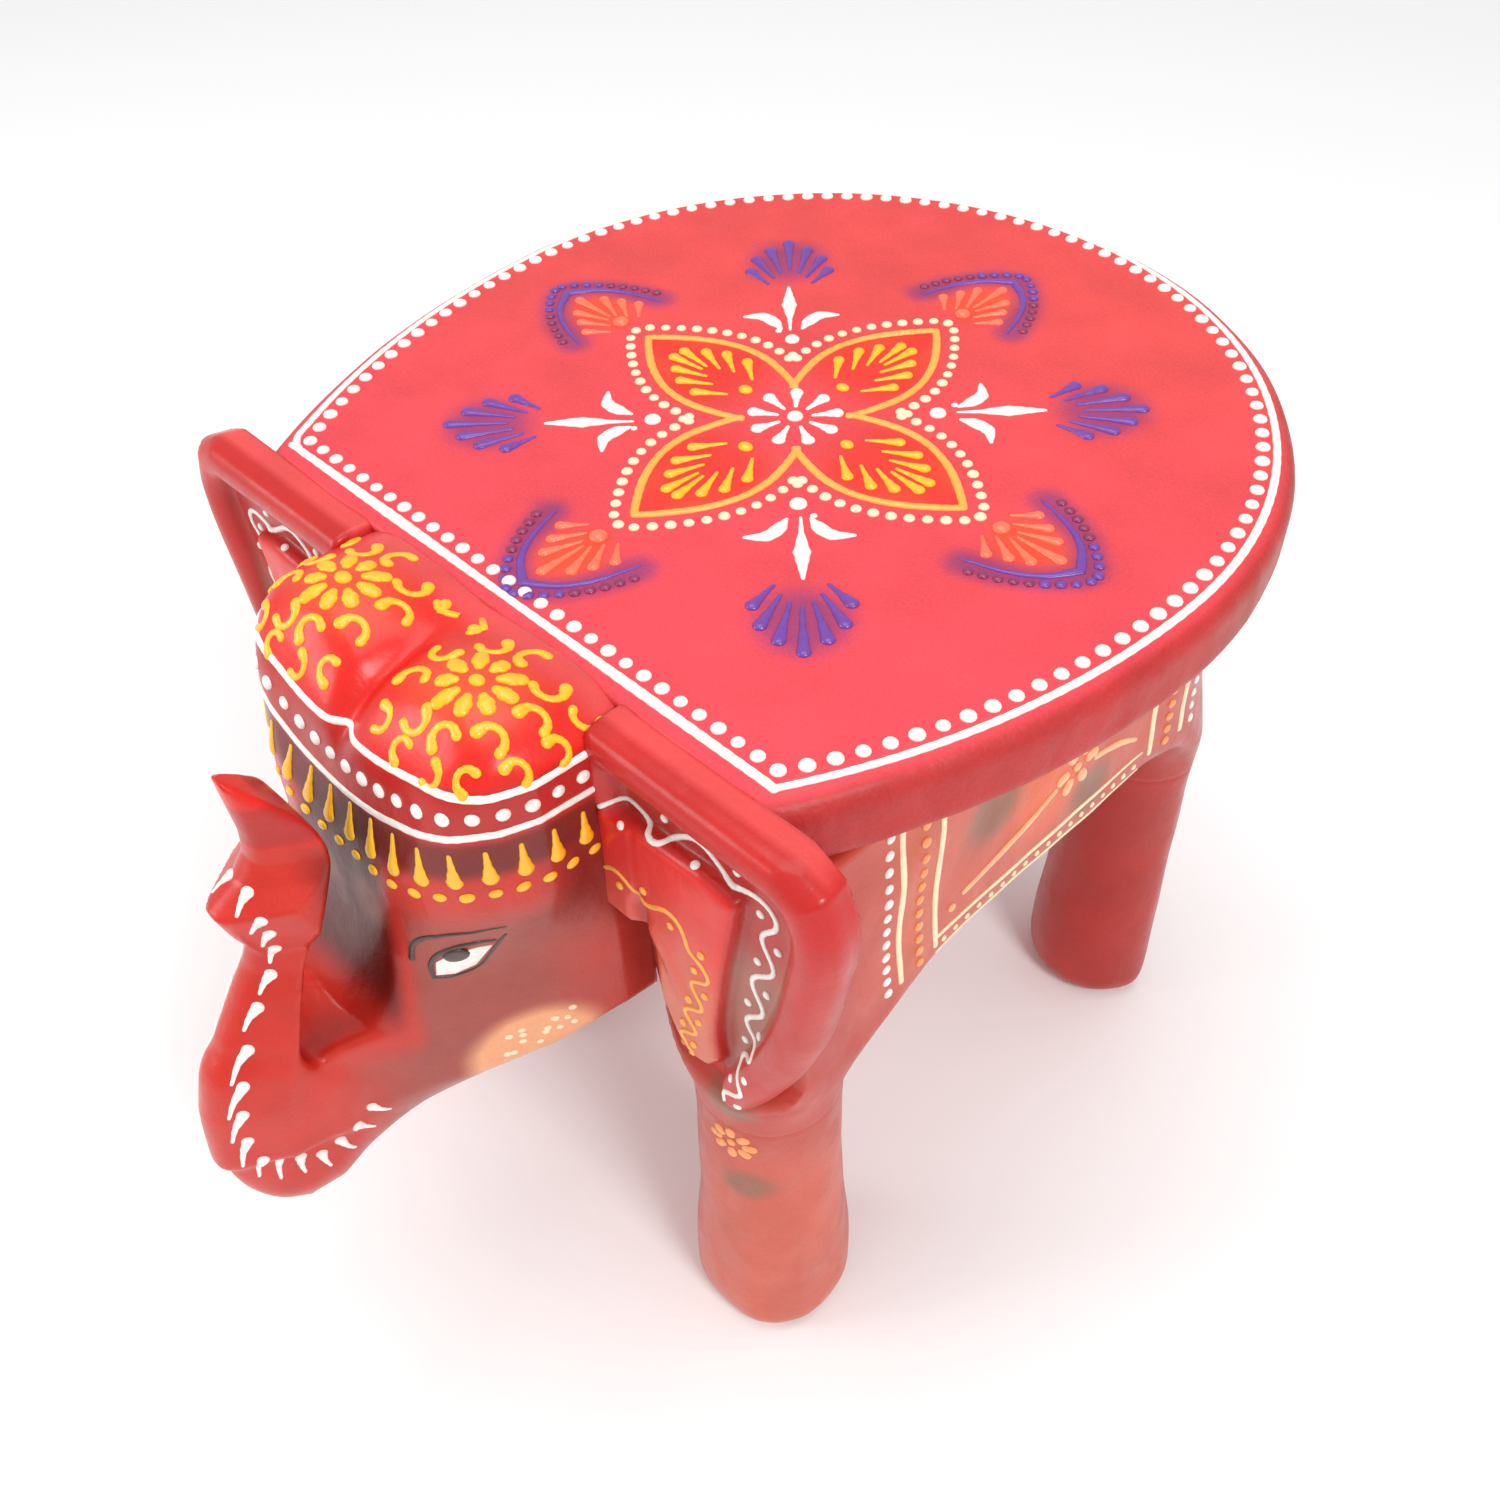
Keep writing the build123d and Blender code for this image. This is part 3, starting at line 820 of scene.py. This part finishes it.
def seat_fan(turn):
    """Fan of seven violet drops beyond a finial."""
    stems = [((59, 5.6), (65, 9.9)), ((62, 4.2), (71, 8.4)), ((64.5, 2.4), (75.5, 4.8)), ((66, 0), (79, 0))]
    for tail, head in stems:
        for side in (1, -1) if head[1] else (1,):
            teardrop("seat-violet", "seat", flower_point(tail[0], side * tail[1], turn),
                     flower_point(head[0], side * head[1], turn), 1.5)


ARCH_FAN = [((58.4, 4.8), (62.6, 8.7)), ((60.6, 2.9), (66.8, 6.6)), ((63, 1.4), (70.8, 4.4))]


def seat_arch(turn):
    """Pointed violet arch with dots outside, over a coral fan, beyond a petal's tip."""
    for side in (1, -1):
        shape = [(60, 13.4), (69, 10.4), (75.5, 6.2), (80, 0)]
        line = [flower_point(u, side * v, turn) for u, v in shape]
        stroke("seat-violet", "seat", line, [0.3, 0.6, 0.85, 1.1])
        row = curve([(63.5, 15.6), (70, 13), (76.5, 8.8), (81.5, 4.2), (83.5, 1.2)])
        for number, (u, v) in enumerate(evenly(row, 3.1)):
            colour = "violet" if number > 4 else "plum"
            dot("seat-" + colour, "seat", flower_point(u, side * v, turn), 1.15)
        for tail, head in ARCH_FAN:
            teardrop("seat-coral", "seat", flower_point(tail[0], side * tail[1], turn),
                     flower_point(head[0], side * head[1], turn), 1.3)
    teardrop("seat-coral", "seat", flower_point(64, 0, turn), flower_point(75, 0, turn), 1.35)
    dot("seat-coral", "seat", flower_point(59.6, 0, turn), 2.0)


def seat_rosette():
    """White rosette at the middle of the seat."""
    dot("seat-white", "seat", flower_point(0, 0, 0), 1.8)
    for number in range(9):
        turn = number * 2 * math.pi / 9 + 0.2
        teardrop("seat-white", "seat", flower_point(4.2, 0, turn), flower_point(9.6, 0, turn), 1.55)


def decorate_seat():
    seat_border()
    seat_rosette()
    for quarter in range(4):
        seat_petal(quarter * math.pi / 2)
        seat_arch(quarter * math.pi / 2)
        seat_finial((quarter + 0.5) * math.pi / 2)
        seat_fan((quarter + 0.5) * math.pi / 2)


# ---------------------------------------------------------------- head decoration
def inward(point):
    """Level way of 5 mm from a point of the head towards its core."""
    way = np.array([-point[0] * 0.9, -66.0 - point[1], 0.0])
    return way * 5 / np.linalg.norm(way)


def brow_ring(z, rise):
    """Line round the brow from ear to ear, passing in front, a little higher at the ears."""
    half = [(43, -62), (43, -76), (40, -84), (34, -91), (26, -95), (14, -98), (0, -99)]
    right = [(x, y, z + rise * float(step(x, 6, 36))) for x, y in half]
    left = [(-x, y, z) for x, y, z in right[-2::-1]]
    return curve(right + left, 4)


def decorate_brow():
    """Headband of two cream lines with white dots, over drops and oval dots."""
    for z, rise in ((197.0, 2.8), (183.5, 6.8)):
        stroke("head-white", "head", brow_ring(z, rise)[::2], [0.8, 0.9, 0.8, 0.9, 0.8], inward)
    for point in evenly(brow_ring(190.3, 4.8), 5.9)[1:-1]:
        dot("head-white", "head", point, 1.5, inward(point))
    for point in evenly(brow_ring(176.0, 4.0), 7.0)[1:-1]:
        top, low = point + (0, 0, 5.5), point - (0, 0, 1.5)
        teardrop("head-yellow", "head", top, low, 1.7, inward)
    for point in evenly(brow_ring(170.3, 3.5), 5.6)[1:-1]:
        dot("head-yellow", "head", point, 1.15, inward(point), 1.35, 0.5)


def over_dome(side, u, v):
    """Point over a dome, by distances from its flower along the surface, and the way down to it."""
    reach = max(math.hypot(u, v), 0.01)
    tilt = reach / DOME_RADIUS
    out = np.array([math.sin(tilt) * u / reach, math.sin(tilt) * v / reach, math.cos(tilt)])
    return np.array([side * DOME_FLOWER[0], DOME_FLOWER[1], 189]) + DOME_RADIUS * out, -7 * out


def curl(side, u, v, radius, start, sweep, half):
    """C-shaped yellow stroke with one swollen end, if its place is on the dome."""
    (x, y, z), way = over_dome(side, u, v)
    if not (5.5 < side * x < 41 and y < SEAT_FRONT_Y - 3 and z > 199.5 - 0.06 * y - 4.0):
        return
    path = []
    for angle in np.linspace(start, start + sweep, 6):
        path.append(over_dome(side, u + radius * math.cos(angle), v + radius * math.sin(angle))[0])
    stroke("head-yellow", "head", path, [half * 1.1, half * 0.75, half * 0.8, half * 1.4], way)


def decorate_dome(side):
    """Nine-petal flower on a dome, ringed by curls and commas."""
    dot("head-yellow", "head", over_dome(side, 0, 0)[0], 1.6, DOWN, 1.2)
    for number in range(9):
        turn = number * 2 * math.pi / 9 + 0.3
        reach = 7.6 + 0.8 * math.sin(number * 2.3)
        petal = []
        for r in (4.4, (4.4 + reach) / 2, reach):
            petal.append(over_dome(side, r * math.cos(turn), r * math.sin(turn))[0])
        stroke("head-yellow", "head", petal, [1.0, 1.8, 1.5])
    for ring, count, radius, half in ((13.5, 9, 3.0, 1.0), (20.5, 13, 2.7, 0.9), (26.5, 16, 2.2, 0.85)):
        for number in range(count):
            turn = (number + 0.3 * math.sin(ring)) * 2 * math.pi / count
            facing = turn + 2.5 * (number % 2) + 0.6 * math.sin(number * 1.7)
            curl(side, ring * math.cos(turn), ring * math.sin(turn), radius, facing, 3.3, half)


def decorate_eye(side):
    """Almond eye under a lid line, with a dark iris."""
    way = (-7 * side, 3.5, 0)

    def on(points):
        return [(side * x, y, z) for x, y, z in points]

    almond = [(24.5, -99.5, 146.4), (27, -96.5, 145.6), (29.5, -92.5, 147), (31.5, -89, 153.6)]
    almond += [(30, -91.8, 154)]
    almond += [(28, -94, 153.6), (26.5, -96.8, 152.6), (25, -99, 150.5)]
    patch("head-white", "head", on(almond), way)
    iris = []
    for angle in np.linspace(0, 2 * math.pi, 14, endpoint=False):
        c, s = math.cos(angle), math.sin(angle)
        iris.append((27.6 + 0.9 * c, -95.3 + 2.6 * c, 152.8 + 2.3 * s))
    patch("head-ink", "head", on(iris), way, 0.6)
    lid = [(24.2, -100, 145.5), (24.3, -99.8, 150), (26.5, -97.4, 154.3), (30, -92.6, 156.2)]
    lid += [(32.3, -88.6, 155.4)]
    stroke("head-ink", "head", on(lid), [0.35, 0.6, 0.7, 0.7, 0.4], way)
    under = [(24.3, -100, 145.8), (27, -96.5, 144.8), (30, -91.8, 146.2), (32.3, -88.2, 153.5)]
    under += [(33.5, -86.6, 157)]
    stroke("head-ink", "head", on(under), [0.35, 0.4, 0.35, 0.5, 0.3], way)
    crease = [(21, -102, 150.5), (22, -101, 155.5), (26, -98, 159.6), (31, -93.5, 160.8), (35, -87, 160.6)]
    stroke("head-ink", "head", on(crease), [0.8, 0.7, 0.55, 0.5, 0.25], way)


def decorate_cheek(side):
    """Cream speckles over the airbrushed cheek."""
    for number in range(15):
        y = -94 + 18 * hand.uniform() + 1.2 * (number % 3)
        z = 108 + 0.34 * (y + 96) + 9.0 * hand.uniform()
        dot("head-cream", "head", (side * 36, y, z), 0.75, (-10 * side, 4, 0), 1.3)


TRUNK_HEADS = [
    (-123.5, 176), (-122, 171.5), (-121.5, 166.5), (-122, 160), (-125, 153), (-130, 146.5), (-135, 137.5),
    (-138.5, 130), (-141, 122), (-142.5, 113), (-141, 105), (-138, 99.5), (-134, 95), (-129, 93),
    (-123.5, 95.5), (-118, 99.5), (-113, 104.5),
]
TRUNK_TAILS = [
    (-127, 173), (-125.5, 167.5), (-124.5, 161.5), (-124.5, 155.5), (-129, 149), (-135, 141.5),
    (-141.5, 130.5), (-145, 121), (-146.5, 113), (-146.5, 104), (-145, 94.5), (-140.5, 90), (-134.5, 88),
    (-128, 86.5), (-120.5, 89.5), (-114, 95), (-108.5, 101.5),
]


def decorate_trunk(side):
    """White drops set along the front edge of the trunk, pointing at it."""
    for head, tip in zip(np.array(TRUNK_HEADS), np.array(TRUNK_TAILS)):
        tail = head + 0.9 * (tip - head)
        teardrop("head-white", "head", (side * 5, *tail), (side * 5, *head), 1.35, (-12 * side, 7, 0), 0.05)


def decorate_head():
    decorate_brow()
    for side in (1, -1):
        decorate_dome(side)
        decorate_eye(side)
        decorate_cheek(side)
        decorate_trunk(side)


# ---------------------------------------------------------------- ear, side and leg decoration
def squiggle(group, piece, path, amplitude, pitches, half, way, to_space, spot_size):
    """Wavy line, tighter at one end, with a dot in each bay."""
    line = evenly(curve(path), 1.0)
    heading = np.gradient(line, axis=0)
    heading /= np.linalg.norm(heading, axis=1)[:, None]
    aside = np.stack([-heading[:, 1], heading[:, 0]], axis=1)
    phase = np.cumsum(2 * math.pi / np.linspace(*pitches, len(line)))
    wave = np.sin(phase)
    wavy = line + aside * (amplitude * wave)[:, None]
    widths = [half, half * 1.2, half, half * 1.1, half]
    stroke(group, piece, [to_space(u, v) for u, v in wavy[::2]], widths, way)
    for at in np.searchsorted(phase, np.arange(math.pi / 2, phase[-1], math.pi)):
        u, v = line[at] - aside[at] * amplitude * wave[at]
        dot(group, piece, to_space(u, v), spot_size, way)


def decorate_ear(name, side):
    def front(u, v):
        return (side * u, -62, v)

    piece = name + "_carved"
    channel = [(43, 185), (60, 188.5), (77, 189), (85, 184), (84, 172), (81, 156), (79.5, 142), (78, 128)]
    channel += [(75, 114)]
    squiggle(name + "-white", piece, channel, 2.1, (21, 13), 0.6, BACKWARD, front, 1.0)
    fold = [(42, 166), (60, 167), (69, 160), (67, 146), (64, 132), (62, 120)]
    squiggle(name + "-amber", piece, fold, 2.0, (18, 9), 0.55, BACKWARD, front, 1.0)


def decorate_side(side):
    """Upright borders at both ends, a belly border and a small spray on the side of the body."""
    way = (-8 * side, 0, 0)

    def flank(y, z):
        return (side * 87, y, z)

    for whites, oranges, creams in ((-31.5, -20.5, (-27.0, -14.5)), (83.0, 72.0, (66.0, 78.0))):
        for z in np.arange(131, 186, 4.6):
            dot("body-white", "body", flank(whites + 0.002 * (z - 160) ** 2, z), 1.2, way)
            dot("body-pale_orange", "body", flank(oranges + 0.002 * (z - 160) ** 2, z), 1.25, way)
        for y in creams:
            path = [flank(y, z) for z in (185, 165, 148)] + [flank(y + 1.5, 131)]
            stroke("body-cream", "body", path, [0.8, 0.9, 0.8], way)
    for z in (133.5, 127.5):
        stroke("body-cream", "body", [flank(y, z) for y in (-12, 20, 45, 64)], [0.6, 0.7, 0.35], way)
    for y in np.arange(-10, 62, 4.2):
        dot("body-cream", "body", flank(y, 130.5), 0.8, way)
    stroke("body-peach", "body", [flank(-4, 141.5), flank(12, 145), flank(27, 149)], [0.8, 1.1, 0.8], way)
    stroke("body-peach", "body", [flank(43, 148), flank(53, 145), flank(60, 141)], [0.9, 1.1, 0.6], way)
    dot("body-peach", "body", flank(-8, 139.5), 1.2, way)
    blossom("body-peach", "body", flank(35, 151), (0, 1, 0), (0, 0, 1), 6, 4.6, way)


def blossom(group, piece, centre, across, up, petals, radius, way):
    """Small flower of oval dots round a dot."""
    centre, across, up = (np.array(part, float) for part in (centre, across, up))
    dot(group, piece, centre, radius * 0.32, way)
    for number in range(petals):
        turn = number * 2 * math.pi / petals
        place = centre + radius * (across * math.cos(turn) + up * math.sin(turn))
        outer = centre + radius * 1.35 * (across * math.cos(turn) + up * math.sin(turn))
        stroke(group, piece, [place, outer], [radius * 0.32, radius * 0.37], way)


def decorate_legs():
    for name, side in (("front_left_leg", 1), ("front_right_leg", -1)):
        piece = name + "_carved"
        blossom(name + "-pale_orange", piece, (side * 72, -64, 91), (1, 0, 0), (0, 0, 1), 8, 3.6, BACKWARD)


def decorate_all():
    decorate_seat()
    decorate_head()
    for name, side in (("left_ear", 1), ("right_ear", -1)):
        decorate_ear(name, side)
        decorate_side(side)
    decorate_legs()
    lay_paint()


# ---------------------------------------------------------------- camera, light and floor
def make_camera():
    """Camera at the photograph's viewing angle."""
    lens = bpy.data.cameras.new("camera")
    lens.lens = 37.31
    lens.sensor_width = 36.0
    lens.clip_start = 0.01
    camera = bpy.data.objects.new("camera", lens)
    bpy.context.scene.collection.objects.link(camera)
    turn, rise, roll = 0.811, 0.808, -0.037
    back = Vector((math.sin(turn) * math.cos(rise), -math.cos(turn) * math.cos(rise), math.sin(rise)))
    right = Vector((0, 0, 1)).cross(back).normalized()
    up = back.cross(right)
    tilted = math.cos(roll) * right + math.sin(roll) * up
    top = back.cross(tilted)
    matrix = Matrix((tilted, top, back)).transposed().to_4x4()
    matrix.translation = Vector((208.1, -182.15, 409.05)) * MM
    camera.matrix_world = matrix
    bpy.context.scene.camera = camera


def make_light(name, place, size, power, aim=(0, 0, 0.12)):
    lamp = bpy.data.lights.new(name, "AREA")
    lamp.shape = "DISK"
    lamp.size = size
    lamp.energy = power
    light = bpy.data.objects.new(name, lamp)
    light.location = place
    light.rotation_euler = (Vector(aim) - Vector(place)).to_track_quat("-Z", "Y").to_euler()
    bpy.context.scene.collection.objects.link(light)


def make_floor():
    mesh = bpy.data.meshes.new("floor")
    half = 4.0
    corners = [(-half, -half, 0), (half, -half, 0), (half, half, 0), (-half, half, 0)]
    mesh.from_pydata(corners, [], [(0, 1, 2, 3)])
    floor = bpy.data.objects.new("floor", mesh)
    bpy.context.scene.collection.objects.link(floor)
    material, tree, shader = new_material("floor")
    shader.inputs["Base Color"].default_value = (0.98, 0.98, 0.98, 1)
    shader.inputs["Roughness"].default_value = 0.9
    floor.data.materials.append(material)


def make_studio():
    scene = bpy.context.scene
    scene.view_settings.view_transform = "Standard"
    world = bpy.data.worlds.new("studio")
    world.use_nodes = True
    sky = world.node_tree.nodes["Background"]
    sky.inputs["Color"].default_value = (1, 1, 1, 1)
    sky.inputs["Strength"].default_value = 0.58
    scene.world = world
    make_light("overhead", (-0.1, 0.1, 1.6), 1.2, 9.0)
    make_light("key", (0.9, -0.2, 1.0), 0.4, 6.5)
    make_light("fill", (-0.7, -0.9, 0.6), 0.6, 4.5)


# ---------------------------------------------------------------- carved pieces
def leg_piece(sx, sy):
    """Field of one leg: its quarter of the whole, below the joint."""
    def field(x, y, z):
        quarter = np.maximum(-sx * x, sy * (28 - y))
        top = body_field(x, y, z) + 0.6 * step(z, JOINT_HEIGHT - 0.7, JOINT_HEIGHT + 2.0)
        return np.maximum(top, np.maximum(quarter, z - JOINT_HEIGHT - 3.0))
    return field


def trunk_of_body(x, y, z):
    """The body block with the flares, which run just inside the tops of the legs."""
    flare = body_field(x, y, z) + 0.6 * (1 - step(z, JOINT_HEIGHT - 2.0, JOINT_HEIGHT + 0.7))
    return np.maximum(flare, JOINT_HEIGHT - 3.0 - z)


def half_ear(side):
    def field(x, y, z):
        return np.maximum(ear_field(x, y, z), -side * x)
    return field


def make_carvings():
    enamel = varnished("carved_enamel", 0.38, 0.25, 0.40, 0.40, 0.05)
    satin = varnished("seat_enamel", 0.50, 0.06, 0.90, 0.12, 0.10)
    reach = SEAT_RADIUS + 1
    carve("seat", ["seat_slab"], seat_field, (-reach, SEAT_FRONT_Y - 1, SEAT_UNDER - 1),
          (reach, SEAT_HIGH[1] + 1, SEAT_TOP + 1), COARSE, seat_tint, satin)
    carve("body", ["body_block"], trunk_of_body, (-90, -70, JOINT_HEIGHT - 5), (90, 124, SEAT_UNDER + 1),
          COARSE, body_tint, enamel)
    for name, (x, y) in LEGS.items():
        sx, sy = math.copysign(1, x), (1 if y > 28 else -1)
        low, high = (x - 30, y - 30, -1), (x + 30, y + 30, JOINT_HEIGHT + 5)
        carve(name + "_carved", [name], leg_piece(sx, sy), low, high, COARSE, body_tint, enamel)
    carve("head", ["head_block"], head_field, (-50, -152, 62), (50, SEAT_FRONT_Y + 1, 214),
          FINE, head_tint, enamel)
    for name, side in (("left_ear", 1), ("right_ear", -1)):
        low = (min(side * 38, side * 106), -68, 96)
        high = (max(side * 38, side * 106), SEAT_FRONT_Y + 1, 207)
        carve(name + "_carved", [name], half_ear(side), low, high, FINE, ear_tint, enamel)
    carve("tail_carved", ["tail"], tail_field, (-10, BODY_BACK - 2, 100), (10, BODY_BACK + 10, 180),
          FINE, wood_tint, enamel)
    wood = bare_wood()
    for name in ("seat_dowels", "head_dowels", "left_ear_dowels", "right_ear_dowels"):
        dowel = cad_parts[name]
        dowel.data.materials.clear()
        dowel.data.materials.append(wood)


make_camera()
make_studio()
make_floor()
make_carvings()
decorate_all()
